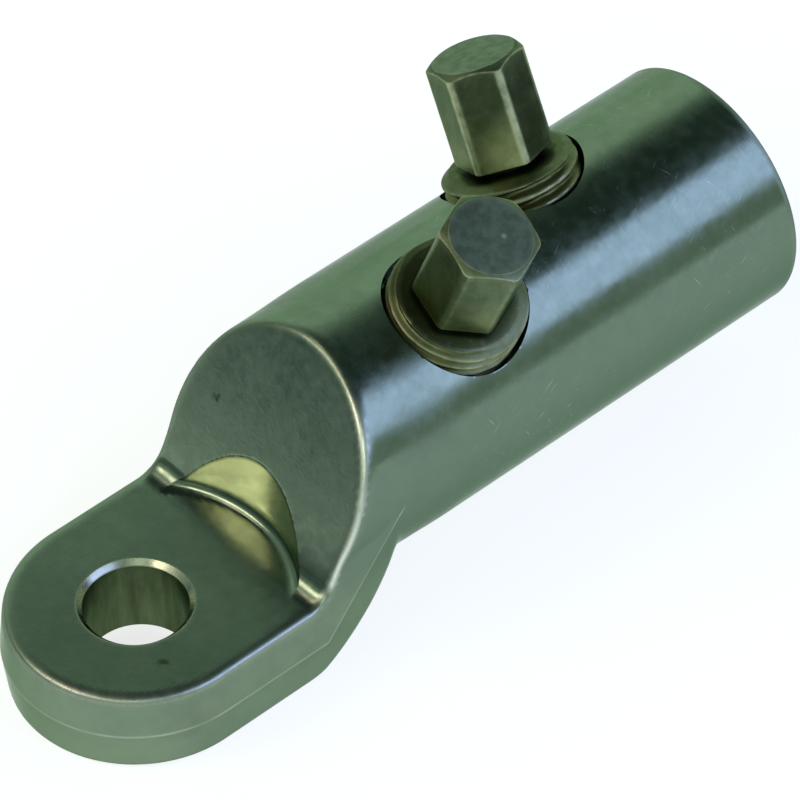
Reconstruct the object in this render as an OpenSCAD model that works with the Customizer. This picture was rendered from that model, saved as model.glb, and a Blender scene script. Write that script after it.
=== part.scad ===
// Mechanical cable lug with two tilted shear-head clamping bolts.
// Millimetres. Origin at the middle of the palm hole, +X towards the open end of the barrel, +Z up.

/* [Barrel] */
// outside diameter of the turned barrel
barrel_d = 27; // [24:0.5:32]
// open end of the barrel, measured from the palm hole
barrel_end = 77; // [72:0.2:92]
// height of the barrel's lowest line above the palm underside
barrel_lift = 2.8; // [1:0.1:4]
// rounding of the outer edge at the open end
end_round = 0.35; // [0.2:0.05:1.5]

/* [Conductor bore] */
// bore that takes the stripped conductor
bore_d = 15; // [14.4:0.1:17]
// solid web left between the shoulder and the end of the full bore
bore_web = 7.5; // [5:0.5:9]
// countersink at the mouth of the bore
bore_mouth = 1; // [0.3:0.1:1.5]
// angle of the drilled bottom of the bore
drill_angle = 118; // [90:1:140]

/* [Palm] */
// width of the palm at its parting line, also the diameter of its half-round tip
palm_w = 27; // [24:0.5:28]
// thickness of the palm
palm_t = 9.5; // [7:0.1:12]
// stud hole through the palm
hole_d = 10.5; // [8.4:0.1:13]
// chamfer at both ends of the stud hole
hole_chamfer = 0.55; // [0.1:0.05:0.9]
// forging draft of the palm sides, above and below the parting line
palm_draft = 6; // [0.5:0.5:8]
// rounding of the palm edges
palm_round = 0.8; // [0.2:0.1:1.5]

/* [Shoulder] */
// gap between the rim of the stud hole and the straight fold at the foot of the slope
fold_gap = 7.75; // [6:0.05:10]
// angle of the slope above the palm
slope_angle = 63.2; // [50:0.2:75]
// concave fillet in the fold
fold_fillet = 1; // [0.3:0.1:1.5]
// how far the round washer recess bites past the fold
recess_bite = 3; // [1:0.1:3.6]
// draft of the recess wall from the vertical
recess_draft = 5.5; // [1:0.5:12]
// concave fillet at the foot of the recess wall
recess_fillet = 0.7; // [0.3:0.1:1]

/* [Bolts] */
// thread diameter of the clamping bolts
thread_d = 14; // [12:0.1:14.2]
// radial clearance between the bolt thread and its hole
thread_clear = 0.05; // [0.02:0.01:0.08]
// wall between the end of the full bore and the side of the first bolt hole
bolt_wall = 3.2; // [1.5:0.1:5]
// distance between the two bolts along the barrel
bolt_pitch = 16.8; // [16.2:0.1:20]
// tilt of the front bolt away from upright, towards -Y
front_tilt = 22; // [10:0.5:30]
// tilt of the rear bolt away from upright, towards +Y
rear_tilt = 24.5; // [10:0.5:30]
// radial step of the relieved hole mouth
mouth_step = 0.5; // [0.2:0.05:0.8]
// least depth of the relieved hole mouth
mouth_depth = 0.3; // [0.1:0.1:0.8]
// gap between a bolt tip and the conductor bore at rest
tip_gap = 0.1; // [0.05:0.05:0.5]
// height of the threaded stub above the barrel at rest
stub_proud = 1.15; // [0.8:0.05:2.5]
// radial width of the chamfer at the top and the tip of the threaded stub
stub_chamfer = 1.15; // [0.3:0.05:1.3]
// height of that chamfer
stub_chamfer_h = 0.45; // [0.2:0.05:1]
// height of the shear neck
neck_h = 0.55; // [0.3:0.05:1]
// diameter of the shear neck
neck_d = 7.4; // [6:0.1:8]
// hex of the shear head across its flats
hex_af = 9; // [8:0.1:9.6]
// height of the shear head
hex_h = 11.2; // [7:0.2:14]
// chamfer of the hex corners at the top
hex_chamfer = 0.6; // [0.2:0.05:0.8]
// turn of the front hex about its own axis
front_turn = 22; // [0:1:59]
// turn of the rear hex about its own axis
rear_turn = 18.5; // [0:0.5:59]

/* [Hidden] */
barrel_r = barrel_d / 2;
bore_r = bore_d / 2;
hole_r = hole_d / 2;
half_w = palm_w / 2;
top_z = palm_t / 2;
foot_z = -palm_t / 2;
face_w = half_w - top_z * tan(palm_draft);
axis_z = foot_z + barrel_lift + barrel_r;
// shoulder: the slope runs from the fold to the top line of the barrel
fold_x = hole_r + fold_gap;
slope_lean = 90 - slope_angle;
slope_top_x = fold_x + (axis_z + barrel_r - top_z) * tan(slope_lean);
recess_r = fold_x + recess_bite;
// ball-turned underside: through the palm corner under the fold and the barrel at the slope top
ball_corner = pow(fold_x, 2) + pow(face_w, 2) + pow(axis_z - foot_z, 2);
ball_x = (pow(slope_top_x, 2) + pow(barrel_r, 2) - ball_corner) / (2 * (slope_top_x - fold_x));
ball_r = sqrt(pow(slope_top_x - ball_x, 2) + pow(barrel_r, 2));
// the shoulder runs on inside the barrel by this much
shoulder_lap = barrel_r / 4;
barrel_start = fold_x - shoulder_lap;
// the bore stops short of the slope, measured along its upper line
bore_end_x = fold_x + (axis_z + bore_r - top_z) * tan(slope_lean) + bore_web;
tip_depth = bore_r / tan(drill_angle / 2);
// bolts, measured outward from the barrel axis
thread_r = thread_d / 2;
thread_hole_r = thread_r + thread_clear;
mouth_r = thread_hole_r + mouth_step;
mouth_floor = sqrt(pow(barrel_r, 2) - pow(mouth_r, 2)) - mouth_depth;
front_x = bore_end_x + bolt_wall + thread_hole_r;
rear_x = front_x + bolt_pitch;
tip_h = bore_r + tip_gap;
stub_top_h = barrel_r + stub_proud;
hex_base_h = stub_top_h + neck_h;
hex_top_h = hex_base_h + hex_h;
hex_corner_r = hex_af / (2 * cos(30));
// cutting shapes run past the faces they cut by these lengths
reach = 4 * barrel_end;
over = 1;
eps = 0.02;
$fn = 96;

// half section of a cut with a rounded foot: flat floor at height 0, wall leaning outward from (width, 0)
module cut_profile(width, lean, fillet, height, back) {
    run = fillet * tan((90 - lean) / 2);
    union() {
        polygon([
            [-back, 0],
            [width - run, 0],
            [width + run * sin(lean), run * cos(lean)],
            [width + height * tan(lean), height],
            [-back, height]
        ]);
        translate([width - run, fillet]) circle(r = fillet);
    }
}

// half section of the palm and the shoulder wall above it, widest at the parting line
module palm_half_section() {
    polygon([[0, foot_z], [face_w, foot_z], [half_w, 0], [face_w, top_z], [face_w, axis_z], [0, axis_z]]);
}

// palm with a half-round tip, still as high as the barrel axis, running on inside the barrel
module palm_blank() {
    union() {
        rotate([0, 0, 90]) rotate_extrude(angle = 180) palm_half_section();
        for (side = [0, 1]) mirror([0, side, 0]) rotate([90, 0, 90])
            linear_extrude(height = slope_top_x + shoulder_lap) palm_half_section();
    }
}

// envelope turned about the barrel axis: its ball end shapes the underside of the shoulder
module turned_envelope() {
    translate([0, 0, axis_z]) rotate([0, 90, 0]) rotate_extrude() intersection() {
        union() {
            translate([0, -reach]) square([ball_r, reach + ball_x]);
            translate([0, ball_x]) circle(r = ball_r);
        }
        translate([0, -reach]) square([reach, 2 * reach]);
    }
}

// palm and shoulder walls up to the barrel axis
module palm_and_shoulder() {
    intersection() {
        palm_blank();
        turned_envelope();
    }
}

// turned barrel with a rounded outer edge at the open end
module barrel_solid() {
    translate([0, 0, axis_z]) rotate([0, 90, 0]) rotate_extrude() union() {
        translate([0, barrel_start]) square([barrel_r, barrel_end - end_round - barrel_start]);
        translate([0, barrel_start]) square([barrel_r - end_round, barrel_end - barrel_start]);
        translate([barrel_r - end_round, barrel_end - end_round]) circle(r = end_round);
    }
}

// corner left between the drafted palm edge and its rounding
module palm_edge_profile() {
    run = palm_round * tan((90 - palm_draft) / 2);
    centre = [face_w - run, top_z - palm_round];
    far = 2 * palm_round;
    difference() {
        polygon([
            centre,
            centre + far * [cos(palm_draft), sin(palm_draft)],
            centre + [far, far],
            centre + [0, far]
        ]);
        translate(centre) circle(r = palm_round);
    }
}

// rounds the upper edge of the palm around its tip and along both sides
module palm_edge_cut(length) {
    union() {
        rotate([0, 0, 90]) rotate_extrude(angle = 180) palm_edge_profile();
        for (side = [0, 1]) mirror([0, side, 0]) rotate([90, 0, 90])
            linear_extrude(height = length) palm_edge_profile();
    }
}

module slope_cut() {
    translate([0, reach / 2, top_z]) rotate([90, 0, 0])
        linear_extrude(height = reach) cut_profile(fold_x, slope_lean, fold_fillet, 2 * barrel_d, reach);
}

module recess_cut() {
    translate([0, 0, top_z])
        rotate_extrude() cut_profile(recess_r, recess_draft, recess_fillet, 2 * barrel_d, 0);
}

module stud_hole() {
    translate([0, 0, foot_z - eps]) cylinder(h = palm_t + 2 * eps, r = hole_r);
    for (side = [0, 1]) mirror([0, 0, side]) translate([0, 0, top_z - hole_chamfer])
        cylinder(h = 2 * hole_chamfer, r1 = hole_r, r2 = hole_r + 2 * hole_chamfer);
}

module conductor_bore() {
    translate([0, 0, axis_z]) rotate([0, 90, 0]) rotate_extrude() polygon([
        [0, bore_end_x - tip_depth],
        [bore_r, bore_end_x],
        [bore_r, barrel_end - bore_mouth],
        [bore_r + 2 * bore_mouth, barrel_end + bore_mouth],
        [0, barrel_end + bore_mouth]
    ]);
}

// places its children on a bolt axis: local Z runs outward from the barrel axis
module on_bolt_axis(x, tilt) {
    translate([x, 0, axis_z]) rotate([-tilt, 0, 0]) children();
}

module bolt_hole(x, tilt) {
    on_bolt_axis(x, tilt) {
        cylinder(h = barrel_d, r = thread_hole_r);
        translate([0, 0, mouth_floor]) cylinder(h = barrel_d, r = mouth_r);
    }
}

module lug_body() {
    color([0.62, 0.66, 0.64]) difference() {
        union() {
            palm_and_shoulder();
            barrel_solid();
        }
        slope_cut();
        recess_cut();
        palm_edge_cut(fold_x - fold_fillet);
        mirror([0, 0, 1]) palm_edge_cut(fold_x + shoulder_lap);
        stud_hole();
        conductor_bore();
        bolt_hole(front_x, -front_tilt);
        bolt_hole(rear_x, rear_tilt);
    }
}

// threaded stub, shear neck and hex shear head, turned about local Z
module shear_bolt(turn) {
    union() {
        rotate_extrude() polygon([
            [0, tip_h],
            [thread_r - stub_chamfer, tip_h],
            [thread_r, tip_h + stub_chamfer_h],
            [thread_r, stub_top_h - stub_chamfer_h],
            [thread_r - stub_chamfer, stub_top_h],
            [neck_d / 2, stub_top_h],
            [neck_d / 2, hex_base_h + eps],
            [0, hex_base_h + eps]
        ]);
        intersection() {
            translate([0, 0, hex_base_h]) rotate([0, 0, turn]) cylinder(h = hex_h, r = hex_corner_r, $fn = 6);
            rotate_extrude() polygon([
                [0, hex_base_h - over],
                [hex_corner_r + over, hex_base_h - over],
                [hex_corner_r + over, hex_top_h - hex_chamfer - over],
                [hex_corner_r - hex_chamfer, hex_top_h],
                [hex_corner_r - hex_chamfer - over, hex_top_h + over],
                [0, hex_top_h + over]
            ]);
        }
    }
}

module front_shear_bolt() {
    color([0.66, 0.68, 0.55]) on_bolt_axis(front_x, -front_tilt) shear_bolt(front_turn);
}

module rear_shear_bolt() {
    color([0.66, 0.68, 0.55]) on_bolt_axis(rear_x, rear_tilt) shear_bolt(rear_turn);
}

lug_body();
front_shear_bolt();
rear_shear_bolt();
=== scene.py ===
import math

import bpy
import numpy as np
from mathutils import Matrix, Vector


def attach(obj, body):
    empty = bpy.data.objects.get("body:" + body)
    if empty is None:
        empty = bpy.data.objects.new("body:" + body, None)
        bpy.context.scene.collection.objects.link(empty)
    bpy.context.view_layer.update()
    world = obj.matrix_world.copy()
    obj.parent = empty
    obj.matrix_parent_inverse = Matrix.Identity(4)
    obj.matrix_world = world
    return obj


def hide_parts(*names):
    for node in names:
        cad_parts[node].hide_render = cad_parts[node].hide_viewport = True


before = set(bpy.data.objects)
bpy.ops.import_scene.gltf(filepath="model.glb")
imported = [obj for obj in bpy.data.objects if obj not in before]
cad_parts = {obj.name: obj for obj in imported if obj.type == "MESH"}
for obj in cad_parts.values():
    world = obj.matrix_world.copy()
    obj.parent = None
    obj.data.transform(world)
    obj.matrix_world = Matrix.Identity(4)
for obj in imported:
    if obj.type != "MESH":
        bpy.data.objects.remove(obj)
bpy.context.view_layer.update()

MM = 0.001

# Sizes of the lug in millimetres, as in the solids
BARREL_R = 13.5
BARREL_END = 77.0
BARREL_LIFT = 2.8
END_ROUND = 0.35
PALM_HALF_W = 13.5
PALM_TOP = 4.75
PALM_FOOT = -4.75
PALM_DRAFT = math.radians(6.0)
AXIS_Z = PALM_FOOT + BARREL_LIFT + BARREL_R
HOLE_R = 5.25
HOLE_CHAMFER = 0.55
FOLD_X = 13.0
SLOPE_LEAN = math.radians(90.0 - 63.2)
SLOPE_TOP_X = FOLD_X + (AXIS_Z + BARREL_R - PALM_TOP) * math.tan(SLOPE_LEAN)
RECESS_BITE = 3.0
RECESS_R = FOLD_X + RECESS_BITE
RECESS_DRAFT = math.radians(5.5)
BORE_R = 7.5
BORE_WEB = 7.5
BORE_END_X = FOLD_X + (AXIS_Z + BORE_R - PALM_TOP) * math.tan(SLOPE_LEAN) + BORE_WEB
BORE_MOUTH = 1.0
DRILL_HALF = math.radians(59.0)
THREAD_R = 7.0
THREAD_HOLE_R = 7.05
BOLT_WALL = 3.2
BOLT_PITCH = 16.8
FRONT_X = BORE_END_X + BOLT_WALL + THREAD_HOLE_R
REAR_X = FRONT_X + BOLT_PITCH
FRONT_TILT = math.radians(-22.0)
REAR_TILT = math.radians(24.5)
FRONT_TURN = math.radians(22.0)
REAR_TURN = math.radians(18.5)
TIP_GAP = 0.1
TIP_H = BORE_R + TIP_GAP
STUB_PROUD = 1.15
STUB_TOP_H = BARREL_R + STUB_PROUD
STUB_CHAMFER = 1.15
STUB_CHAMFER_H = 0.45
NECK_R = 3.7
NECK_H = 0.55
HEX_BASE_H = STUB_TOP_H + NECK_H
HEX_H = 11.2
HEX_TOP_H = HEX_BASE_H + HEX_H
HEX_AF = 9.0
HEX_CORNER_R = HEX_AF / (2 * math.cos(math.pi / 6))
FACE_HALF_W = PALM_HALF_W - PALM_TOP * math.tan(PALM_DRAFT)
BALL_CORNER = FOLD_X ** 2 + FACE_HALF_W ** 2 + (AXIS_Z - PALM_FOOT) ** 2
BALL_X = (SLOPE_TOP_X ** 2 + BARREL_R ** 2 - BALL_CORNER) / (2 * (SLOPE_TOP_X - FOLD_X))
BALL_R = math.sqrt((SLOPE_TOP_X - BALL_X) ** 2 + BARREL_R ** 2)

# Finer forms, shaped for the looks: hole mouths, hex corners, roundings and fillets
MOUTH_R = 7.5
MOUTH_FLOOR = 8.6
HEX_TOP_R = 4.22
HEX_CHAMFER_ANGLE = math.radians(34)
HEX_DOME = 0.05
HEX_ROUND = 0.9
HEX_FOOT_BREAK = 0.22
NECK_FOOT_W = 0.3
NECK_FOOT_H = 0.12
NECK_HEAD_W = 0.1
NECK_HEAD_H = 0.05
EDGE_REACH = 1.4
FOLD_FILLET = 1.6
RECESS_FILLET = 1.1
RECESS_LIP = 0.02
FOOT_ROUND = 0.5
BALL_ROUND = 0.8
CORNER_FILLET = 0.6
CORNER_FADE_FROM = 1.5
CORNER_FADE = 4.0
CORNER_LEAST = 0.03
FORGED_END_X = 31.4
FORGED_FADE = 9.0
FORGED_SQUEEZE = 0.022
BARREL_LAP = 4.0
CUT_PAST = 1.0
COUNTERSINK_REACH = 4.0


# Distance fields, negative inside
def meet(a, b, radius):
    """Overlap of two distance fields, with a rounded outer edge."""
    inner = np.minimum(-radius, np.maximum(a, b))
    return inner + np.hypot(np.maximum(a + radius, 0), np.maximum(b + radius, 0))


def join(a, b, radius):
    """Union of two distance fields, with a filleted inner corner."""
    return -meet(-a, -b, radius)


def blend(a, b, reach):
    """Overlap of two distance fields, its outer edge rolling over gently within a reach."""
    near = np.maximum(reach - np.abs(a - b), 0) / reach
    return np.maximum(a, b) + near ** 3 * reach / 6


def bolt_hole_field(x, y, z, centre_x, tilt):
    """Distance to a tilted bolt hole with a relieved mouth."""
    out = np.sin(tilt) * y + np.cos(tilt) * (z - AXIS_Z)
    side = np.cos(tilt) * y - np.sin(tilt) * (z - AXIS_Z)
    r = np.hypot(x - centre_x, side)
    hole = np.maximum(r - THREAD_HOLE_R, -out)
    mouth = np.maximum(r - MOUTH_R, MOUTH_FLOOR - out)
    return np.minimum(hole, mouth)


def blank_field(x, y, z):
    """Signed distance to the barrel joined to the palm block, before any cut."""
    rise = z - AXIS_Z
    # turned barrel, a little flatter at the sides where it is still as forged
    forged = np.clip((FORGED_END_X - x) / FORGED_FADE, 0, 1)
    forged = forged * forged * (3 - 2 * forged)
    squeeze = 1 + FORGED_SQUEEZE * forged
    r_axis = np.hypot(y * squeeze, rise)
    barrel = meet(r_axis - BARREL_R, x - BARREL_END, END_ROUND)
    barrel = np.maximum(barrel, FOLD_X - BARREL_LAP - x)
    # palm and shoulder walls, drafted away from a parting line that climbs to the barrel axis
    climb = np.clip((x - FOLD_X) / (SLOPE_TOP_X - FOLD_X), 0, 1) * AXIS_Z
    half_w = PALM_HALF_W * (1 - FORGED_SQUEEZE * climb / AXIS_Z)
    wall = half_w - np.abs(z - climb) * math.tan(PALM_DRAFT)
    reach = np.where(x < 0, np.hypot(x, y), np.abs(y))
    block = meet(reach - wall, PALM_FOOT - z, FOOT_ROUND)
    ball = np.sqrt((x - BALL_X) ** 2 + y ** 2 + rise ** 2) - BALL_R
    ball = np.where(x < BALL_X, np.hypot(y, rise) - BALL_R, ball)
    block = np.maximum(meet(block, ball, BALL_ROUND), rise)
    # the fillet between them fades out towards the barrel axis
    fillet = CORNER_FILLET * np.clip((-rise - CORNER_FADE_FROM) / CORNER_FADE, CORNER_LEAST, 1)
    return join(barrel, block, fillet)


def shoulder_field(x, y, z):
    """Signed distance to what the slope and the washer recess leave over the palm floor."""
    slope = (z - PALM_TOP) * math.sin(SLOPE_LEAN) - (x - FOLD_X) * math.cos(SLOPE_LEAN)
    wall = RECESS_R + (z - PALM_TOP) * math.tan(RECESS_DRAFT)
    recess = (wall - np.hypot(x, y)) * math.cos(RECESS_DRAFT)
    foot = z - PALM_TOP
    return meet(join(foot, slope, FOLD_FILLET), join(foot, recess, RECESS_FILLET), RECESS_LIP)


def body_field(x, y, z):
    """Signed distance to the lug body, in millimetres, negative inside."""
    rise = z - AXIS_Z
    solid = blend(blank_field(x, y, z), shoulder_field(x, y, z), EDGE_REACH)
    # stud hole with chamfered ends
    r_hole = np.hypot(x, y)
    flare = (r_hole - HOLE_R - HOLE_CHAMFER + (PALM_TOP - np.abs(z))) * math.sqrt(0.5)
    flare = np.maximum(flare, np.abs(z) - PALM_TOP - CUT_PAST)
    solid = np.maximum(solid, -np.minimum(r_hole - HOLE_R, flare))
    # conductor bore: drilled bottom, straight wall, countersunk mouth
    r_bore = np.hypot(y, rise)
    drill = (r_bore - BORE_R) * math.cos(DRILL_HALF) - (x - BORE_END_X) * math.sin(DRILL_HALF)
    bore = np.maximum(r_bore - BORE_R, drill)
    countersink = (r_bore - BORE_R - (x - BARREL_END + BORE_MOUTH)) * math.sqrt(0.5)
    countersink = np.maximum(countersink, BARREL_END - COUNTERSINK_REACH - x)
    solid = np.maximum(solid, -np.minimum(bore, countersink))
    # bolt holes
    solid = np.maximum(solid, -bolt_hole_field(x, y, z, FRONT_X, FRONT_TILT))
    solid = np.maximum(solid, -bolt_hole_field(x, y, z, REAR_X, REAR_TILT))
    return solid


# Meshing
PROBE = 0.01
WIDE_PROBE = 0.05
TINY = 1e-9
SETTLE_STEPS = 2
ROOT_STEPS = 5
ROOT_MARGIN = 0.05
TERM_COUNT = 13
FLATTEST = 0.006
FURTHEST = 1.2
NORMAL_INSET = 0.3
NORMAL_PROBE = 0.02
NORMAL_CREASE = math.radians(8)


def gradient(field, p, step=PROBE):
    """Unit normals of a field at the points p."""
    g = np.empty_like(p)
    for k in range(3):
        shift = np.zeros(3)
        shift[k] = step
        g[:, k] = field(*(p + shift).T) - field(*(p - shift).T)
    length = np.linalg.norm(g, axis=1, keepdims=True)
    return g / np.maximum(length, TINY)


def settle(field, points):
    """Points moved onto the surface of a field."""
    for _ in range(SETTLE_STEPS):
        points = points - gradient(field, points) * field(*points.T)[:, None]
    return points


def crossing(field, a, b, va, vb):
    """Points between a and b where a field changes sign, by false position kept off the ends."""
    for _ in range(ROOT_STEPS):
        t = np.clip(va / (va - vb), ROOT_MARGIN, 1 - ROOT_MARGIN)[:, None]
        m = a + (b - a) * t
        vm = field(*m.T)
        same = (vm < 0) == (va < 0)
        a = np.where(same[:, None], m, a)
        b = np.where(same[:, None], b, m)
        va = np.where(same, vm, va)
        vb = np.where(same, vb, vm)
    return a + (b - a) * (va / (va - vb))[:, None]


def plane_terms(p, n):
    """What crossings and their normals add to the least-squares sums of the cells around them."""
    d = np.einsum("ij,ij->i", n, p)
    return np.stack([
        n[:, 0] * n[:, 0], n[:, 0] * n[:, 1], n[:, 0] * n[:, 2],
        n[:, 1] * n[:, 1], n[:, 1] * n[:, 2], n[:, 2] * n[:, 2],
        n[:, 0] * d, n[:, 1] * d, n[:, 2] * d,
        p[:, 0], p[:, 1], p[:, 2], np.ones(len(p))], 1)


def solve_cells(sums, step):
    """Mean crossing of each cell, and the move from it to the point that best fits the cell's planes."""
    centre = sums[:, 9:12] / sums[:, 12:13]
    ata = sums[:, [0, 1, 2, 1, 3, 4, 2, 4, 5]].reshape(-1, 3, 3)
    rhs = sums[:, 6:9] - np.einsum("ijk,ik->ij", ata, centre)
    w, q = np.linalg.eigh(ata)
    inv = np.where(w > FLATTEST * w[:, 2:3], 1 / np.maximum(w, TINY), 0)
    move = np.einsum("ijk,ik->ij", q, inv * np.einsum("ikj,ik->ij", q, rhs))
    length = np.linalg.norm(move, axis=1, keepdims=True)
    return centre, move * np.minimum(1, FURTHEST * step / np.maximum(length, TINY))


def unfold(field, points, faces, spares):
    """Points with those of folded faces taken from spare sets, one set after another."""
    for spare in spares:
        corner = points[faces]
        out = np.cross(corner[:, 2] - corner[:, 0], corner[:, 3] - corner[:, 1])
        folded = np.einsum("ij,ij->i", out, gradient(field, corner.mean(1), WIDE_PROBE)) < 0
        moved = np.unique(faces[folded])
        points[moved] = spare[moved]
    return points


def contour(field, axes, step):
    """Dual contouring of a field over a grid: crisp creases, smooth surfaces, quads only."""
    shape = tuple(len(a) for a in axes)
    value = field(*np.meshgrid(*axes, indexing="ij"))
    inside = value < 0
    cells = tuple(n - 1 for n in shape)
    cell_count = math.prod(cells)
    sums = np.zeros((cell_count, TERM_COUNT))
    quads = []
    flips = []
    for axis in range(3):
        near = [slice(None)] * 3
        far = [slice(None)] * 3
        near[axis] = slice(0, -1)
        far[axis] = slice(1, None)
        index = np.argwhere(inside[tuple(near)] != inside[tuple(far)])
        u, v = [k for k in range(3) if k != axis]
        for k in (u, v):
            index = index[(index[:, k] > 0) & (index[:, k] < shape[k] - 1)]
        ahead = index.copy()
        ahead[:, axis] += 1
        a = np.stack([axes[k][index[:, k]] for k in range(3)], 1)
        b = np.stack([axes[k][ahead[:, k]] for k in range(3)], 1)
        p = crossing(field, a, b, value[tuple(index.T)], value[tuple(ahead.T)])
        terms = plane_terms(p, gradient(field, p))
        # the four cells around each crossed edge
        ring = []
        for du, dv in ((-1, -1), (0, -1), (0, 0), (-1, 0)):
            cell = index.copy()
            cell[:, u] += du
            cell[:, v] += dv
            ring.append(np.ravel_multi_index(tuple(cell.T), cells))
        for ids in ring:
            for col in range(TERM_COUNT):
                sums[:, col] += np.bincount(ids, terms[:, col], cell_count)
        quads.append(np.stack(ring, 1))
        flip = inside[tuple(index.T)]
        flips.append(flip if axis != 1 else ~flip)
    used = np.flatnonzero(sums[:, -1] > 0)
    centre, move = solve_cells(sums[used], step)
    lookup = np.full(cell_count, -1)
    lookup[used] = np.arange(len(used))
    faces = []
    for ring, flip in zip(quads, flips):
        f = lookup[ring]
        f[~flip] = f[~flip][:, ::-1]
        faces.append(f)
    faces = np.concatenate(faces)
    # points of folded faces go back inside their own cells, and at last to the mean crossing
    place = np.stack(np.unravel_index(used, cells), 1)
    low = np.stack([axes[k][place[:, k]] for k in range(3)], 1)
    high = np.stack([axes[k][place[:, k] + 1] for k in range(3)], 1)
    inner = settle(field, np.clip(centre + move, low, high))
    middle = settle(field, centre)
    points = settle(field, centre + move)
    return unfold(field, points, faces, (inner, inner, middle, middle)), faces


def new_mesh(name, points, faces, crease):
    """Mesh object from millimetre points, smooth but for creases sharper than the given angle."""
    mesh = bpy.data.meshes.new(name)
    mesh.from_pydata((np.asarray(points) * MM).tolist(), [], [list(map(int, f)) for f in faces])
    mesh.update()
    mesh.shade_smooth()
    mesh.set_sharp_from_angle(angle=math.radians(crease))
    obj = bpy.data.objects.new(name, mesh)
    bpy.context.scene.collection.objects.link(obj)
    return obj


def field_normals(obj, field, points, faces):
    """Shade a mesh with the normals of its field, split only where faces meet at a crease."""
    corner = faces.ravel()
    middle = points[faces].mean(1).repeat(faces.shape[1], axis=0)
    inset = points[corner] + NORMAL_INSET * (middle - points[corner])
    n_corner = gradient(field, inset, NORMAL_PROBE)
    n_point = np.stack([np.bincount(corner, n_corner[:, k], len(points)) for k in range(3)], 1)
    n_point /= np.maximum(np.linalg.norm(n_point, axis=1, keepdims=True), TINY)
    agree = np.ones(len(points))
    np.minimum.at(agree, corner, np.einsum("ij,ij->i", n_corner, n_point[corner]))
    split = agree[corner] < math.cos(NORMAL_CREASE)
    obj.data.normals_split_custom_set(np.where(split[:, None], n_corner, n_point[corner]).tolist())


def add_mask(obj, name, values):
    """Per-vertex mask that the materials read."""
    attr = obj.data.attributes.new(name, "FLOAT", "POINT")
    attr.data.foreach_set("value", np.asarray(values, dtype=np.float32))


# Lug body, with finer cells at the lip of the recess and at the open end
STEP = 0.46
LIP_STEP = 0.23
END_STEP = 0.12
SMOOTH_ALL = 180


def grid_axis(*spans):
    """Grid positions over spans that each have a start, a stop and a step."""
    return np.concatenate([np.arange(*span) for span in spans])


body_grid = (
    grid_axis((-15.1, 15.2, STEP), (15.26, 17.4, LIP_STEP), (17.5, 76.2, STEP), (76.24, 77.6, END_STEP)),
    grid_axis((-15.37, 15.2 + STEP, STEP)),
    grid_axis((-6.03, 10.5, STEP), (10.53, 12.9, LIP_STEP), (13.06, 26.4 + STEP, STEP)))
body_points, body_faces = contour(body_field, body_grid, STEP)
body = new_mesh("lug_body_look", body_points, body_faces, SMOOTH_ALL)
field_normals(body, body_field, body_points, body_faces)

# Where the body is worn, and where it carries painted light and shade, in millimetres and shares of a
# normal
EDGE_PROBE = 0.8
EDGE_FADE = 0.35
RIM_W = 0.6
RECESS_HALF_W = 11.5


def ramp(value, low, high):
    """Share of the way from low to high, kept between 0 and 1."""
    return np.clip((value - low) / (high - low), 0, 1)


def body_masks(points):
    """Rubbed edges, the rims of slope and palm for painted highlight and shade, and the flanks for
    painted shade.
    """
    x, y, z = points.T
    normals = gradient(body_field, points, WIDE_PROBE)
    sunk = points - EDGE_PROBE * normals
    edge = ramp(body_field(*sunk.T), -EDGE_PROBE, EDGE_FADE - EDGE_PROBE)
    # no rubbing at the lip of the recess, nor round the bolt holes
    from_hole = np.hypot(x, y)
    lip_off = np.abs(from_hole - RECESS_R - 0.5)
    inward = ramp(np.abs(y), RECESS_HALF_W, RECESS_HALF_W - 1.0) * (z > PALM_TOP + 0.3)
    edge *= 1 - inward * ramp(lip_off, 2.2, 1.6)
    for centre_x, tilt in ((FRONT_X, FRONT_TILT), (REAR_X, REAR_TILT)):
        edge *= ramp(bolt_hole_field(x, y, z, centre_x, tilt), 1.2, 1.6)
    rim = ramp(np.abs(blank_field(x, y, z) - shoulder_field(x, y, z)), RIM_W, 0.0)
    # flanks get painted shade; they face sideways or down, below the upper barrel, outside slope and
    # recess
    flank = ramp(normals[:, 2], 0.62, 0.37) * ramp(z, AXIS_Z + 9.0, AXIS_Z + 6.0)
    flank *= ramp(normals[:, 0], -0.75, -0.60) + (x < 8.0)
    in_recess = (from_hole < RECESS_R + 2.5) & (z > PALM_TOP - 1.2)
    flank[in_recess & (np.abs(y) < RECESS_HALF_W)] = 0
    return {"edge": edge, "rim": rim, "flank": np.clip(flank, 0, 1)}


for mask_name, mask_values in body_masks(body_points).items():
    add_mask(body, mask_name, mask_values)

# Bolts
THREAD_PITCH = 1.5
THREAD_DEPTH = 0.72
THREAD_FLAT = 0.12
THREAD_STEP = 0.075
CREST_BAND = 0.25
AROUND = 240
BOLT_CREASE = 30
# painted shade on one face of the head
SHADED_FACE = math.radians(150)
SHADED_FACE_HALF = math.radians(29)
SHADED_FACE_FADE = math.radians(3)
BARE_FACE = math.radians(210)
BARE_HALF = math.radians(31)
BARE_FADE = math.radians(4)
BARE_LEAST = 0.2
# painted shade on one side of the thread
SHADED_SIDE = math.radians(145)
SIDE_SHADE_GAIN = 1.3
# painted highlight on the crests of one side, on top of the wear all round
SHEEN_SIDE = math.radians(238)
CREST_WEAR = 0.30
SIDE_SHEEN = 0.65
CORNER_WEAR_FROM = 0.16
CORNER_WEAR_FULL = 0.04
CHAMFER_LEAST = 0.02
# painted shadow under the head, reaching out from and in to the flats
SHADE_OUT = 0.30
SHADE_IN = 0.05
FOOT_RING = 0.5
TOP_RING = 0.25
TOP_EDGE = 0.01
HEX_SHARES = np.linspace(0.1, 0.9, 7)
CHAMFER_SHARES = ((0.2, 0.2), (0.8, 0.0))
TOP_INSETS = (0.5, 1.6, 3.0)


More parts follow.
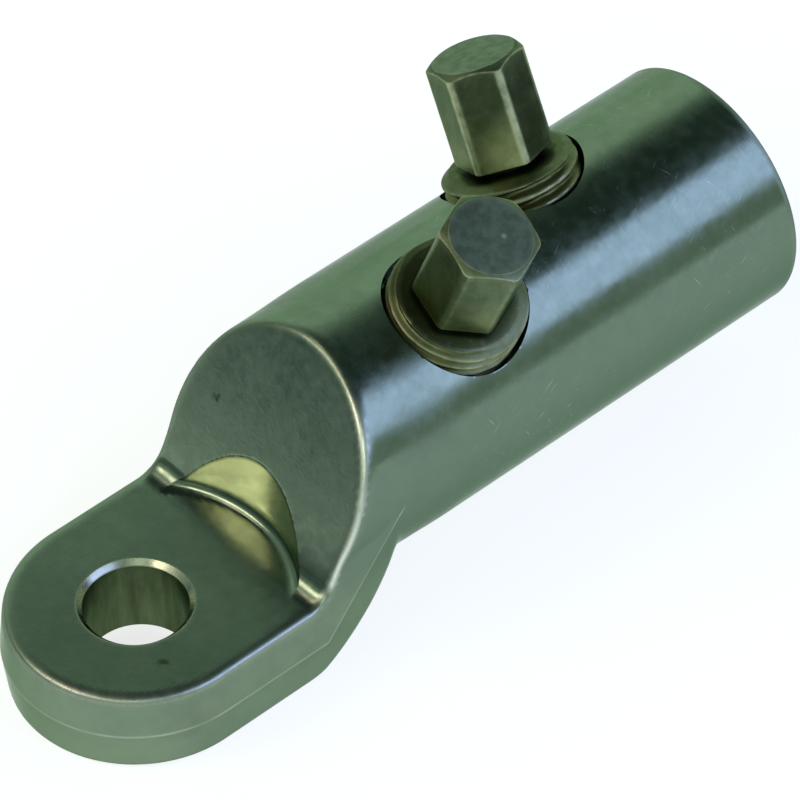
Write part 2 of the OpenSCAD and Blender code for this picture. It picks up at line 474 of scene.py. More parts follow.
def stub_radius(theta, h):
    """Outline of the threaded stub at an angle and a height along its axis."""
    phase = np.mod(h / THREAD_PITCH - theta / (2 * math.pi), 1.0)
    tooth = ramp(np.abs(phase - 0.5) * 2, THREAD_FLAT, 1 - THREAD_FLAT)
    tooth = tooth * tooth * (3 - 2 * tooth)
    r = THREAD_R - THREAD_DEPTH * tooth
    top = THREAD_R - STUB_CHAMFER * ramp(h, STUB_TOP_H - STUB_CHAMFER_H, STUB_TOP_H)
    tip = THREAD_R - STUB_CHAMFER * ramp(h, TIP_H + STUB_CHAMFER_H, TIP_H)
    return np.minimum(r, np.minimum(top, tip))


def hex_radius(theta):
    """Outline of the hex, its corners slightly broken."""
    local = np.abs(np.mod(theta, math.pi / 3) - math.pi / 6)
    flat = HEX_AF / 2 / np.cos(local)
    # distance out to the round of the corner, measured from the round's centre
    centre = HEX_CORNER_R - HEX_ROUND / math.cos(math.pi / 6)
    off = math.pi / 6 - local
    arc = centre * np.cos(off) + np.sqrt(np.maximum(HEX_ROUND ** 2 - (centre * np.sin(off)) ** 2, 0))
    touch = math.pi / 6 - math.atan(math.tan(math.pi / 6) - HEX_ROUND / HEX_AF)
    return np.where(np.tan(off) < np.tan(touch), arc, flat)


def bolt_rings(theta, turn, thread_start, shade_amount, rubbed_and_sheen):
    """Rings of a bolt, tip to top, each with radius, height, wear with painted highlight, and painted
    shade all around.
    """
    rings = []

    def add(r, h, wear_and_sheen=0.0, painted_shade=0.0):
        rings.append([np.broadcast_to(value, AROUND) for value in (r, h, wear_and_sheen, painted_shade)])

    # one side of the thread is painted darker as painted shade; crests are worn all round, with a
    # painted highlight on another side
    side_shade = np.clip(SIDE_SHADE_GAIN * shade_amount * np.cos(theta + turn - SHADED_SIDE), 0, 1)
    crest_wear_and_sheen = CREST_WEAR + SIDE_SHEEN * np.clip(np.cos(theta + turn - SHEEN_SIDE), 0, 1)
    for h in np.arange(TIP_H, STUB_TOP_H + THREAD_STEP / 2, THREAD_STEP):
        r = stub_radius(theta + thread_start, h)
        crest = ramp(r, THREAD_R - CREST_BAND, THREAD_R)
        add(r, h, crest * crest_wear_and_sheen, side_shade)
    flat = hex_radius(theta)
    corner = rubbed_and_sheen * ramp(np.max(flat) - flat, CORNER_WEAR_FROM, CORNER_WEAR_FULL)
    # one face of the head is painted darker, as painted shade
    painted_dark = shade_amount * ramp(np.abs(theta - SHADED_FACE), SHADED_FACE_HALF, SHADED_FACE_HALF - SHADED_FACE_FADE)
    # a painted shadow fills the corner under the head
    add(flat + SHADE_OUT, STUB_TOP_H, painted_shade=0.4 * side_shade)
    add(flat + SHADE_IN, STUB_TOP_H, painted_shade=1.0)
    add(NECK_R + NECK_FOOT_W, STUB_TOP_H, painted_shade=1.0)
    add(NECK_R, STUB_TOP_H + NECK_FOOT_H, painted_shade=1.0)
    add(NECK_R, HEX_BASE_H - NECK_HEAD_H, painted_shade=1.0)
    add(NECK_R + NECK_HEAD_W, HEX_BASE_H, painted_shade=1.0)
    add(flat - HEX_FOOT_BREAK, HEX_BASE_H, painted_shade=1.0)
    foot = HEX_BASE_H + HEX_FOOT_BREAK
    add(flat, foot, wear_and_sheen=np.maximum(corner, 0.5), painted_shade=painted_dark)
    add(flat, HEX_BASE_H + FOOT_RING, corner, painted_dark)
    # each column of the hex stops where it meets the cone of the top chamfer
    cut = HEX_TOP_H - np.maximum(flat - HEX_TOP_R, CHAMFER_LEAST) * math.tan(HEX_CHAMFER_ANGLE)
    for share in HEX_SHARES:
        add(flat, foot + (cut - foot) * share, corner, painted_dark)
    add(flat, cut - TOP_RING, wear_and_sheen=np.maximum(corner, 0.1), painted_shade=painted_dark)
    add(flat, cut, wear_and_sheen=1.0)
    chamfer_top = np.minimum(flat, HEX_TOP_R) - TOP_EDGE
    # the top chamfer gets painted shade as well
    for share, wear_and_sheen in CHAMFER_SHARES:
        add(flat + share * (chamfer_top - flat), cut + share * (HEX_TOP_H - cut), wear_and_sheen, 0.6 * shade_amount)
    add(chamfer_top, HEX_TOP_H, wear_and_sheen=0.2)
    for inset in TOP_INSETS:
        r = HEX_TOP_R - inset
        add(r, HEX_TOP_H + HEX_DOME * (1 - (r / HEX_TOP_R) ** 2))
    return np.array(rings)


def ring_faces(count):
    """Quads between neighbouring rings, then fans over the tip and the top."""
    faces = []
    for k in range(count - 1):
        for i in range(AROUND):
            j = (i + 1) % AROUND
            faces.append((k * AROUND + i, k * AROUND + j, (k + 1) * AROUND + j, (k + 1) * AROUND + i))
    tip = count * AROUND
    last = (count - 1) * AROUND
    for i in range(AROUND):
        j = (i + 1) % AROUND
        faces.append((tip, j, i))
        faces.append((tip + 1, last + i, last + j))
    return faces


def bolt_mesh(name, centre_x, tilt, turn, thread_start, shade_amount, rubbed_and_sheen):
    """Threaded stub, shear neck and hex head as one closed lathe-like mesh."""
    theta = np.linspace(0, 2 * math.pi, AROUND, endpoint=False)
    rings = bolt_rings(theta, turn, thread_start, shade_amount, rubbed_and_sheen)
    r, h, wear_and_sheen, painted_shade = rings.transpose(1, 0, 2)
    points = np.stack([r * np.cos(theta + turn), r * np.sin(theta + turn), h], -1).reshape(-1, 3)
    points = np.vstack([points, [0, 0, TIP_H], [0, 0, HEX_TOP_H + HEX_DOME]])
    # local Z runs outward from the barrel axis, leaning by the tilt
    y = points[:, 1] * math.cos(tilt) + points[:, 2] * math.sin(tilt)
    z = points[:, 2] * math.cos(tilt) - points[:, 1] * math.sin(tilt) + AXIS_Z
    placed = np.stack([points[:, 0] + centre_x, y, z], 1)
    obj = new_mesh(name, placed, ring_faces(len(rings)), BOLT_CREASE)
    # the tin is thin on one face of the head
    bare = ramp(np.abs(theta - BARE_FACE), BARE_HALF, BARE_HALF - BARE_FADE)
    bare = rubbed_and_sheen * np.maximum(bare, BARE_LEAST)
    add_mask(obj, "height", points[:, 2])
    add_mask(obj, "edge", np.append(wear_and_sheen, [0, 0]))
    add_mask(obj, "painted_shade", np.append(painted_shade, [0, 0]))
    add_mask(obj, "bare", np.append(np.tile(bare, len(rings)), [0, 0]))
    return obj


front_bolt = bolt_mesh("front_bolt_look", FRONT_X, FRONT_TILT, FRONT_TURN,
                       thread_start=0.6, shade_amount=0.3, rubbed_and_sheen=0.35)
rear_bolt = bolt_mesh("rear_bolt_look", REAR_X, REAR_TILT, REAR_TURN,
                      thread_start=2.4, shade_amount=0.2, rubbed_and_sheen=1.0)

# Materials: object coordinates are in metres, the height mask of the bolts in millimetres
BUMP_DEPTH = 0.0002
NOISE_ROUGH = 0.55
SPOT_CORE = 0.4
FLATTEN = 1e9
METAL_TINT = (0.52, 0.60, 0.52, 1)


class Nodes:
    """Short helper for building a node material."""

    def __init__(self, name):
        self.material = bpy.data.materials.new(name)
        self.material.use_nodes = True
        self.tree = self.material.node_tree
        self.shader = self.tree.nodes["Principled BSDF"]

    def add(self, kind, **values):
        """New node with some of its properties set."""
        node = self.tree.nodes.new(kind)
        for key, value in values.items():
            setattr(node, key, value)
        return node

    def link(self, a, b):
        """Wire from an output to an input."""
        self.tree.links.new(a, b)

    def place(self, source, scale, turn=(0, 0, 0)):
        """Coordinates turned, then stretched by a scale per axis, and flattened where that is 0."""
        node = self.add("ShaderNodeMapping", vector_type="TEXTURE")
        node.inputs["Rotation"].default_value = turn
        node.inputs["Scale"].default_value = tuple(1 / v if v else FLATTEN for v in scale)
        self.link(source, node.inputs["Vector"])
        return node.outputs["Vector"]

    def noise(self, vector, scale, detail):
        """Fractal noise over coordinates."""
        node = self.add("ShaderNodeTexNoise")
        node.inputs["Scale"].default_value = scale
        node.inputs["Detail"].default_value = detail
        node.inputs["Roughness"].default_value = NOISE_ROUGH
        self.link(vector, node.inputs["Vector"])
        return node.outputs["Fac"]

    def band(self, source, low, high, to_low=0.0, to_high=1.0):
        """A range of values mapped to another range and kept within it."""
        node = self.add("ShaderNodeMapRange")
        node.inputs["From Min"].default_value = low
        node.inputs["From Max"].default_value = high
        node.inputs["To Min"].default_value = to_low
        node.inputs["To Max"].default_value = to_high
        self.link(source, node.inputs["Value"])
        return node.outputs["Result"]

    def math(self, kind, a, b):
        """Arithmetic on two values, each an output or a number."""
        node = self.add("ShaderNodeMath", operation=kind)
        for socket, value in zip(node.inputs, (a, b)):
            if isinstance(value, (int, float)):
                socket.default_value = value
            else:
                self.link(value, socket)
        return node.outputs[0]

    def times(self, a, b):
        """Product of two values."""
        return self.math("MULTIPLY", a, b)

    def plus(self, a, b):
        """Sum of two values."""
        return self.math("ADD", a, b)

    def mix(self, fac, a, b):
        """Colours or values a and b mixed by a share of b."""
        node = self.add("ShaderNodeMix", data_type="RGBA")
        for name, value in (("Factor", fac), ("A", a), ("B", b)):
            socket = [s for s in node.inputs if s.name == name and s.enabled][0]
            if isinstance(value, (tuple, int, float)):
                socket.default_value = value
            else:
                self.link(value, socket)
        return [s for s in node.outputs if s.enabled][0]

    def spot(self, source, centre, radius):
        """One small round mark around a point given in millimetres."""
        node = self.add("ShaderNodeVectorMath", operation="DISTANCE")
        self.link(source, node.inputs[0])
        node.inputs[1].default_value = tuple(c * MM for c in centre)
        return self.band(node.outputs["Value"], radius * MM, radius * MM * SPOT_CORE)

    def mask(self, name):
        """A mask kept on the vertices."""
        node = self.add("ShaderNodeAttribute", attribute_name=name)
        return node.outputs["Fac"]

    def bump(self, height, strength):
        """Fine relief on the shader's normal."""
        node = self.add("ShaderNodeBump")
        node.inputs["Strength"].default_value = strength
        node.inputs["Distance"].default_value = BUMP_DEPTH
        self.link(height, node.inputs["Height"])
        self.link(node.outputs["Normal"], self.shader.inputs["Normal"])


# Colours of the tinned body
TIN_DEEP = (0.168, 0.228, 0.154, 1)
TIN_PALE = (0.196, 0.260, 0.178, 1)
TIN_GRAIN = (0.19, 0.26, 0.19, 1)
TIN_PATCH = (0.10, 0.138, 0.092, 1)
# painted shade on the flanks that face sideways or down
TIN_FLANK_SHADE = (0.128, 0.190, 0.138, 1)
TIN_WORN = (0.20, 0.28, 0.18, 1)
TIN_EDGE = (0.28, 0.35, 0.26, 1)
MILLED = (0.88, 0.86, 0.59, 1)
SCRATCH = (0.46, 0.53, 0.44, 1)
# painted shade on the far, upper rim of the slope
RIM_PAINTED_SHADE = (0.075, 0.100, 0.070, 1)
# painted highlights on the near rims of slope and palm
RIM_PAINTED_HIGHLIGHT = (0.80, 0.85, 0.73, 1)
PALM_RIM_PAINTED_HIGHLIGHT = (0.56, 0.62, 0.50, 1)
PARTING_LINE = (0.38, 0.45, 0.34, 1)
HOLE_CHAMFERED = (0.40, 0.44, 0.31, 1)
# painted shade inside the stud hole, streaked between these two
HOLE_SHADE_DEEP = (0.042, 0.062, 0.027, 1)
HOLE_SHADE_PALE = (0.118, 0.176, 0.084, 1)
SPECK = (0.05, 0.06, 0.04, 1)

# Colours of the bolts
BOLT_DEEP = (0.098, 0.136, 0.073, 1)
BOLT_PALE = (0.126, 0.171, 0.097, 1)
# painted light: head tops kept paler than the darkened sides
BOLT_TOP_PAINTED_LIGHT = (0.195, 0.258, 0.172, 1)
BOLT_STREAK = (0.062, 0.086, 0.042, 1)
# painted shade on the neck and the step under the head
BOLT_STEP_SHADE = (0.060, 0.088, 0.038, 1)
BRASS_THREAD = (0.150, 0.156, 0.052, 1)
BOLT_FLECK = (0.22, 0.25, 0.16, 1)
BRASS_BARE = (0.60, 0.67, 0.31, 1)
# rubbed tin, also used for the painted highlight on one side of the crests
BOLT_RUBBED_AND_SHEEN = (0.42, 0.48, 0.29, 1)
# painted shade and painted shadow
BOLT_PAINTED_SHADE = (0.034, 0.044, 0.017, 1)
# painted glint of a dent
BOLT_DENT_GLINT = (0.55, 0.62, 0.50, 1)


def skin_coords(m, x, y, z):
    """Coordinates on the unrolled barrel: along its axis, then around it."""
    around = m.math("ARCTAN2", y, m.math("SUBTRACT", z, AXIS_Z * MM))
    skin = m.add("ShaderNodeCombineXYZ")
    m.link(x, skin.inputs["X"])
    m.link(m.times(around, BARREL_R * MM), skin.inputs["Y"])
    return skin.outputs["Vector"]


def worn_flank(m, coord, x, z, flank):
    """Rubbed patches on the palm's side, most at its tip and its foot."""
    patch = m.band(m.noise(coord, 65, 4), 0.45, 0.75, 0.0, 0.5)
    worn = m.plus(patch, m.band(x, -0.004, -0.012, 0.0, 0.45))
    worn = m.plus(worn, m.band(z, 0.0, -0.002, 0.0, 0.3))
    return m.times(m.times(worn, flank), m.band(z, 0.006, 0.003))


def milled_wall(m, x, z, from_hole):
    """Wall of the washer recess, under the plane of the slope."""
    rise = m.math("SUBTRACT", z, PALM_TOP * MM)
    run = m.math("SUBTRACT", x, FOLD_X * MM)
    up = m.times(rise, math.sin(SLOPE_LEAN))
    under_slope = m.math("SUBTRACT", up, m.times(run, math.cos(SLOPE_LEAN)))
    milled = m.times(m.band(under_slope, -0.00004, -0.0002), m.band(rise, 0.0007, 0.0012))
    return m.times(milled, m.band(from_hole, 0.0182, 0.0176))


def scratches(m, coord, skin, turned):
    """Light scratches in two directions, gathered in patches, and dings, mostly on the barrel."""
    patch = m.band(m.noise(coord, 70, 2), 0.40, 0.58)
    one_way = m.band(m.noise(m.place(skin, (330, 6500, 1), (0, 0, 0.5)), 1, 1), 0.685, 0.775)
    other_way = m.band(m.noise(m.place(skin, (420, 6500, 1), (0, 0, -1.1)), 1, 1), 0.705, 0.795)
    ding = m.band(m.noise(coord, 900, 1), 0.79, 0.84)
    marks = m.math("MAXIMUM", m.math("MAXIMUM", one_way, other_way), ding)
    marks = m.times(marks, patch)
    return m.times(marks, m.band(turned, 0.0, 1.0, 0.05, 1.0))


def rim_highlight_and_shade(m, colour, y, z):
    """Slope rim: painted shade on the far side, painted highlight on the near side; palm rim: painted
    highlight.
    """
    rim = m.mask("rim")
    above = m.times(rim, m.band(z, 0.0056, 0.0066))
    # painted shade dims the highlight on the far, upper part of the slope rim
    painted_dark = m.times(above, m.band(y, -0.0070, -0.0030))
    colour = m.mix(m.times(painted_dark, 0.4), colour, RIM_PAINTED_SHADE)
    # painted highlight on the near, lower part of the slope rim
    rubbed_and_sheen = m.times(above, m.band(y, -0.0060, -0.0090))
    colour = m.mix(m.times(rubbed_and_sheen, 0.9), colour, RIM_PAINTED_HIGHLIGHT)
    # painted highlight on the palm's near rim
    palm = m.times(rim, m.band(z, 0.0058, 0.0052))
    palm = m.times(palm, m.band(y, 0.002, -0.004))
    return m.mix(m.times(palm, 0.6), colour, PALM_RIM_PAINTED_HIGHLIGHT)


def parting_line(m, coord, x, z, from_hole):
    """Line left by the forging dies, level round the palm and climbing the shoulder."""
    climb = m.band(x, 0.0130, 0.0235, 0.0, AXIS_Z * MM)
    off_line = m.math("ABSOLUTE", m.math("SUBTRACT", z, climb), 0)
    line = m.times(m.band(off_line, 0.00022, 0.00005), m.band(x, 0.0236, 0.0230))
    line = m.times(line, m.band(from_hole, 0.0105, 0.0110))
    return m.times(line, m.band(m.noise(coord, 120, 3), 0.35, 0.6, 0.25, 0.85))


def stud_hole(m, coord, colour, high, from_hole, bored):
    """Bright chamfer of the stud hole, and its streaked wall painted dark as painted shade inside the
    hole.
    """
    chamfer = m.times(m.band(from_hole, 0.0060, 0.0058), m.band(high, 0.0041, 0.0043))
    colour = m.mix(m.times(chamfer, 0.7), colour, HOLE_CHAMFERED)
    streak = m.band(m.noise(m.place(coord, (420, 420, 60)), 1, 4), 0.35, 0.7)
    return m.mix(m.times(bored, 0.95), colour, m.mix(streak, HOLE_SHADE_DEEP, HOLE_SHADE_PALE))


def tinned_body():
    """Dull green-grey tin over the forging, its barrel turned, with painted light and shade in places.
    """
    m = Nodes("tinned_body")
    coord = m.add("ShaderNodeTexCoord").outputs["Object"]
    split = m.add("ShaderNodeSeparateXYZ")
    m.link(coord, split.inputs[0])
    x, y, z = split.outputs["X"], split.outputs["Y"], split.outputs["Z"]
    length = m.add("ShaderNodeVectorMath", operation="LENGTH")
    m.link(m.place(coord, (1, 1, 0)), length.inputs[0])
    from_hole = length.outputs["Value"]
    turned = m.band(x, 0.0309, 0.0319)
    skin = skin_coords(m, x, y, z)
    # clouded tin with a fine grain, patchy from mottling and from the brushing of the barrel
    cloud = m.noise(coord, 160, 5)
    fine = m.noise(coord, 900, 4)
    mottle = m.noise(coord, 620, 3)
    colour = m.mix(m.band(cloud, 0.35, 0.65), TIN_DEEP, TIN_PALE)
    colour = m.mix(m.band(fine, 0.5, 0.75, 0, 0.35), colour, TIN_GRAIN)
    brushed = m.math("SUBTRACT", m.noise(m.place(skin, (2600, 160, 1)), 1, 3), 0.5)
    brushed = m.times(brushed, m.times(turned, 0.28))
    patchy = m.plus(brushed, m.math("SUBTRACT", mottle, 0.5))
    colour = m.mix(m.band(patchy, -0.25, 0.25, 0.30, 0.0), colour, TIN_PATCH)
    # the flanks are painted darker and cooler as painted shade, but for rubbed patches round the palm
    flank = m.mask("flank")
    flank_shade = m.times(flank, m.band(z, 0.002, 0.008, 0.15, 0.72))
    colour = m.mix(flank_shade, colour, TIN_FLANK_SHADE)
    colour = m.mix(worn_flank(m, coord, x, z, flank), colour, TIN_WORN)
    # the washer recess is milled bright and warm
    milled = milled_wall(m, x, z, from_hole)
    colour = m.mix(m.times(milled, 0.9), colour, MILLED)
    scuff = scratches(m, coord, skin, turned)
    colour = m.mix(m.times(scuff, 0.7), colour, SCRATCH)
    edge = m.mask("edge")
    colour = m.mix(m.times(edge, 0.4), colour, TIN_EDGE)
    colour = rim_highlight_and_shade(m, colour, y, z)
    colour = m.mix(parting_line(m, coord, x, z, from_hole), colour, PARTING_LINE)
    high = m.math("ABSOLUTE", z, 0)
    bored = m.times(m.band(from_hole, 0.0056, 0.0053), m.band(high, 0.0043, 0.0041))
    colour = stud_hole(m, coord, colour, high, from_hole, bored)
    # one dark speck on the palm and one on the slope
    on_palm = m.spot(coord, (-3.3, -8.0, 4.75), 0.75)
    on_slope = m.spot(coord, (18.0, 8.2, 14.6), 0.7)
    speck = m.math("MAXIMUM", on_palm, on_slope)
    speck = m.times(speck, m.band(m.noise(coord, 1400, 2), 0.42, 0.56))
    colour = m.mix(m.times(speck, 0.8), colour, SPECK)
    m.link(colour, m.shader.inputs["Base Color"])
    m.shader.inputs["Metallic"].default_value = 1.0
    m.shader.inputs["Specular Tint"].default_value = METAL_TINT
    # duller at scratches, on the forged stretch behind the slope, at rubbed edges and in the stud hole
    forged = m.times(m.band(x, 0.0319, 0.0309), m.band(x, 0.0235, 0.0255))
    rough = m.band(cloud, 0.2, 0.8, 0.17, 0.22)
    rough = m.plus(rough, m.band(fine, 0.25, 0.75, -0.03, 0.05))
    rough = m.plus(rough, m.band(patchy, -0.25, 0.25, 0.05, -0.05))
    for place, more in ((scuff, 0.15), (forged, 0.07), (edge, 0.32), (bored, 0.15)):
        rough = m.plus(rough, m.times(place, more))
    m.link(rough, m.shader.inputs["Roughness"])
    # relief: forged grain on shoulder and palm, fine turning lines on the barrel, none in the stud hole
    grain = m.times(m.mix(0.25, m.noise(coord, 2400, 3), mottle), 0.5)
    lines = m.mix(0.55, m.noise(m.place(coord, (6000, 60, 60)), 1, 2), mottle)
    relief = m.times(m.mix(turned, grain, lines), m.band(from_hole, 0.0058, 0.0062))
    m.bump(relief, 0.06)
    return m.material


def tinned_bolt():
    """Tin over brass, worn thin on the thread and at the foot of the head, with painted light and shade
    in places.
    """
    m = Nodes("tinned_bolt")
    coord = m.add("ShaderNodeTexCoord").outputs["Object"]
    height = m.mask("height")
    edge = m.mask("edge")
    cloud = m.noise(coord, 260, 5)
    fine = m.noise(coord, 1400, 3)
    streak = m.noise(m.place(coord, (900, 900, 140)), 1, 4)
    colour = m.mix(m.band(cloud, 0.35, 0.65), BOLT_DEEP, BOLT_PALE)
    # the tops of the heads are painted paler than the sides, as painted light
    top = m.band(height, HEX_TOP_H - 0.05, HEX_TOP_H - 0.01, 0.0, 0.9)
    colour = m.mix(top, colour, BOLT_TOP_PAINTED_LIGHT)
    colour = m.mix(m.band(streak, 0.40, 0.60, 0.4, 0.0), colour, BOLT_STREAK)
    # the neck and the step below the head are painted darker, as painted shade under the head
    step = m.band(height, STUB_TOP_H - 0.15, STUB_TOP_H)
    step = m.times(step, m.band(height, HEX_BASE_H + 0.03, HEX_BASE_H - 0.12))
    colour = m.mix(m.times(step, 0.75), colour, BOLT_STEP_SHADE)
    # brass shows through the thin tin on the thread
    thin = m.band(height, STUB_TOP_H - 1.8, HEX_BASE_H + 0.5, 0.65, 0.0)
    colour = m.mix(thin, colour, BRASS_THREAD)
    colour = m.mix(m.band(fine, 0.55, 0.75, 0, 0.4), colour, BOLT_FLECK)
    # rubbed to brass towards the foot of the head
    foot = m.times(m.band(height, HEX_BASE_H + 7.0, HEX_BASE_H + 0.5), m.mask("bare"))
    foot = m.times(foot, m.band(cloud, 0.40, 0.60, 0.55, 1.0))
    foot = m.times(foot, m.band(height, HEX_BASE_H - 0.05, HEX_BASE_H + 0.05))
    colour = m.mix(foot, colour, BRASS_BARE)
    # rubbed edges and crests, with a painted highlight on one side of the crests
    rub_and_sheen = m.times(edge, m.band(m.noise(coord, 900, 3), 0.3, 0.6, 0.25, 0.9))
    colour = m.mix(rub_and_sheen, colour, BOLT_RUBBED_AND_SHEEN)
    # painted shade from the mask: one side of the thread, one face and the top chamfer of the head, the
    # corner under it
    painted_shade = m.times(m.mask("painted_shade"), m.band(streak, 0.30, 0.65, 0.95, 0.70))
    colour = m.mix(painted_shade, colour, BOLT_PAINTED_SHADE)
    # a painted glint of a dent at the top of the front bolt
    dent_glint = m.spot(coord, (39.0, -10.6, 36.0), 0.42)
    colour = m.mix(m.times(dent_glint, 0.7), colour, BOLT_DENT_GLINT)
    m.link(colour, m.shader.inputs["Base Color"])
    m.shader.inputs["Metallic"].default_value = 1.0
    m.shader.inputs["Specular Tint"].default_value = METAL_TINT
    rough = m.plus(m.band(cloud, 0.3, 0.7, 0.27, 0.36), m.times(edge, 0.12))
    rough = m.plus(rough, m.band(height, HEX_TOP_H - 0.3, HEX_TOP_H - 0.2, 0.0, 0.14))
    rough = m.plus(rough, m.band(height, HEX_BASE_H + 0.05, HEX_BASE_H - 0.15, 0.0, 0.07))
    m.link(rough, m.shader.inputs["Roughness"])
    m.bump(m.mix(0.5, m.noise(coord, 1800, 3), m.noise(coord, 500, 2)), 0.10)
    return m.material


body.data.materials.append(tinned_body())
bolt_material = tinned_bolt()
for bolt in (front_bolt, rear_bolt):
    bolt.data.materials.append(bolt_material)

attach(body, "lug")
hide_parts("lug_body")
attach(front_bolt, "front_bolt")
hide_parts("front_shear_bolt")
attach(rear_bolt, "rear_bolt")
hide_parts("rear_shear_bolt")

# Camera at the photograph's viewing angle
YAW = math.radians(41.72)
PITCH = math.radians(44.645)
ROLL = math.radians(-0.772)
DISTANCE = 0.57007
TARGET = Vector((36.346 * MM, 0, AXIS_Z * MM))
FRAME_PIXELS = 800
SHIFT_RIGHT = -11.72
SHIFT_UP = -27.04
right = Vector((math.cos(YAW), -math.sin(YAW), 0))
ahead = Vector((math.cos(PITCH) * math.sin(YAW), math.cos(PITCH) * math.cos(YAW), -math.sin(PITCH)))
up = Vector((math.sin(PITCH) * math.sin(YAW), math.sin(PITCH) * math.cos(YAW), math.cos(PITCH)))
cam_x = math.cos(ROLL) * right + math.sin(ROLL) * up
cam_y = math.cos(ROLL) * up - math.sin(ROLL) * right
camera_data = bpy.data.cameras.new("camera")
camera_data.sensor_width = 36.0
camera_data.lens = 258.17
camera_data.shift_x = SHIFT_RIGHT / FRAME_PIXELS
camera_data.shift_y = SHIFT_UP / FRAME_PIXELS
camera_data.clip_start = 0.01
camera_data.clip_end = 50
camera = bpy.data.objects.new("camera", camera_data)
bpy.context.scene.collection.objects.link(camera)
basis = Matrix((cam_x, cam_y, -ahead)).transposed().to_4x4()
camera.matrix_world = Matrix.Translation(TARGET - ahead * DISTANCE) @ basis
bpy.context.scene.camera = camera

# Stage: a pale floor, a pale surround that darkens overhead, soft lamps and two cards
FLOOR_HALF = 6.0
FLOOR_GAP = 0.0002
FLOOR_Z = PALM_FOOT * MM - FLOOR_GAP
FLOOR_GREY = (0.36, 0.42, 0.42, 1)
FLOOR_GLOW = 0.78
DULL = 0.9
floor_mesh = bpy.data.meshes.new("floor")
floor_signs = ((-1, -1), (1, -1), (1, 1), (-1, 1))
floor_corners = [(sx * FLOOR_HALF, sy * FLOOR_HALF, FLOOR_Z) for sx, sy in floor_signs]
floor_mesh.from_pydata(floor_corners, [], [(0, 1, 2, 3)])
floor = bpy.data.objects.new("floor", floor_mesh)
bpy.context.scene.collection.objects.link(floor)
floor_nodes = Nodes("floor")
floor_nodes.shader.inputs["Base Color"].default_value = FLOOR_GREY
floor_nodes.shader.inputs["Roughness"].default_value = DULL
floor_nodes.shader.inputs["Specular IOR Level"].default_value = 0.1
floor_nodes.shader.inputs["Emission Color"].default_value = (1, 1, 1, 1)
rays = floor_nodes.add("ShaderNodeLightPath")
seen = floor_nodes.math("MAXIMUM", rays.outputs["Is Camera Ray"], rays.outputs["Is Glossy Ray"])
seen = floor_nodes.math("MAXIMUM", seen, rays.outputs["Is Transmission Ray"])
glow = floor_nodes.times(seen, FLOOR_GLOW)
floor_nodes.link(glow, floor_nodes.shader.inputs["Emission Strength"])
floor.data.materials.append(floor_nodes.material)

FADE_FROM = 0.71
FADE_TO = 0.80
SIDE_GLOW = 0.46
OVERHEAD_GLOW = 0.055
SIDE_TINT = (0.81, 1.0, 0.89, 1)
OVERHEAD_TINT = (0.62, 1.0, 1.0, 1)
world = bpy.data.worlds.new("surround")
bpy.context.scene.world = world
world.use_nodes = True
tree = world.node_tree
background = tree.nodes["Background"]
direction = tree.nodes.new("ShaderNodeTexCoord")
split = tree.nodes.new("ShaderNodeSeparateXYZ")
tree.links.new(direction.outputs["Generated"], split.inputs[0])
fade = tree.nodes.new("ShaderNodeMapRange")
fade.inputs["From Min"].default_value = FADE_FROM
fade.inputs["From Max"].default_value = FADE_TO
fade.inputs["To Min"].default_value = SIDE_GLOW
fade.inputs["To Max"].default_value = OVERHEAD_GLOW
tree.links.new(split.outputs["Z"], fade.inputs["Value"])
tint = tree.nodes.new("ShaderNodeValToRGB")
side_stop, overhead_stop = tint.color_ramp.elements
side_stop.position = FADE_FROM
side_stop.color = SIDE_TINT
overhead_stop.position = FADE_TO
overhead_stop.color = OVERHEAD_TINT
tree.links.new(split.outputs["Z"], tint.inputs["Fac"])
tree.links.new(tint.outputs["Color"], background.inputs["Color"])
tree.links.new(fade.outputs["Result"], background.inputs["Strength"])


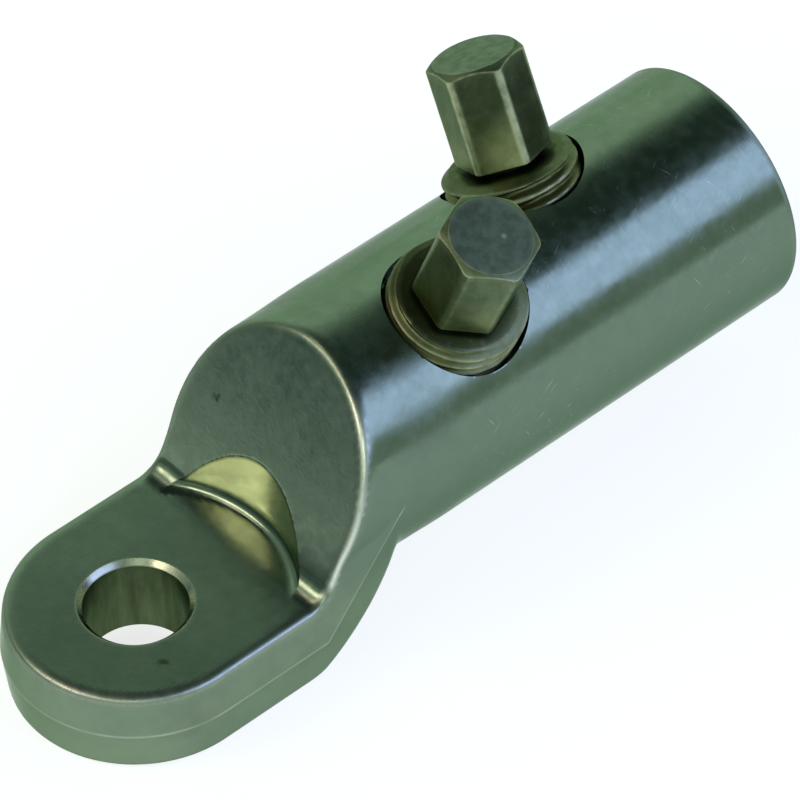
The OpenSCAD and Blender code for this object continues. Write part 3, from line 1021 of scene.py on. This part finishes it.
def lamp(name, place, aim, size, radiance, colour):
    """Rectangular soft lamp with a given radiance over its face."""
    data = bpy.data.lights.new(name, "AREA")
    data.shape = "RECTANGLE"
    data.size, data.size_y = size
    data.energy = radiance * math.pi * size[0] * size[1]
    data.color = colour
    obj = bpy.data.objects.new(name, data)
    bpy.context.scene.collection.objects.link(obj)
    obj.location = place
    obj.rotation_euler = (Vector(aim) - Vector(place)).to_track_quat("-Z", "Y").to_euler()


BARREL_AIM = (0.04, 0, 0.01)
PALM_AIM = (0.02, 0, 0.01)
lamp("front_box", (0.38, -0.478, 0.426), BARREL_AIM, (0.9, 0.37), radiance=3.0, colour=(0.42, 0.46, 1.0))
lamp("back_wall", (0.55, 0.75, 0.35), BARREL_AIM, (1.6, 0.84), radiance=0.46, colour=(0.80, 1.0, 0.82))
lamp("near_box", (-0.66, -0.62, 0.63), PALM_AIM, (0.45, 0.22), radiance=3.0, colour=(0.95, 1.0, 0.9))
lamp("left_box", (-0.80, 0.26, 0.76), PALM_AIM, (1.0, 0.22), radiance=6.0, colour=(1.0, 0.80, 0.72))
lamp("high_box", (-0.44, 0.42, 0.92), PALM_AIM, (0.50, 0.20), radiance=2.5, colour=(1.0, 0.80, 0.68))

CARD_GAP = 0.0005
CARD_TINT = 0.82


def card(name, centre, facing, width, height, shade):
    """Upright greenish grey card that the metal mirrors and the camera does not see."""
    mesh = bpy.data.meshes.new(name)
    out = Vector((facing[0], facing[1], 0)).normalized()
    side = Vector((-out.y, out.x, 0)) * width / 2
    foot = Vector((centre[0], centre[1], FLOOR_Z + CARD_GAP))
    top = foot + Vector((0, 0, height))
    mesh.from_pydata([foot - side, foot + side, top + side, top - side], [], [(0, 1, 2, 3)])
    obj = bpy.data.objects.new(name, mesh)
    bpy.context.scene.collection.objects.link(obj)
    nodes = Nodes(name)
    nodes.shader.inputs["Base Color"].default_value = (shade * CARD_TINT, shade, shade * CARD_TINT, 1)
    nodes.shader.inputs["Roughness"].default_value = DULL
    mesh.materials.append(nodes.material)
    obj.visible_camera = False


card("right_card", (0.138, -0.042), (-0.83, 0.48), width=0.05, height=0.03, shade=0.04)
card("left_card", (-0.19, 0.14), (0.85, -0.53), width=0.34, height=0.10, shade=0.45)

bpy.context.scene.view_settings.view_transform = "Standard"
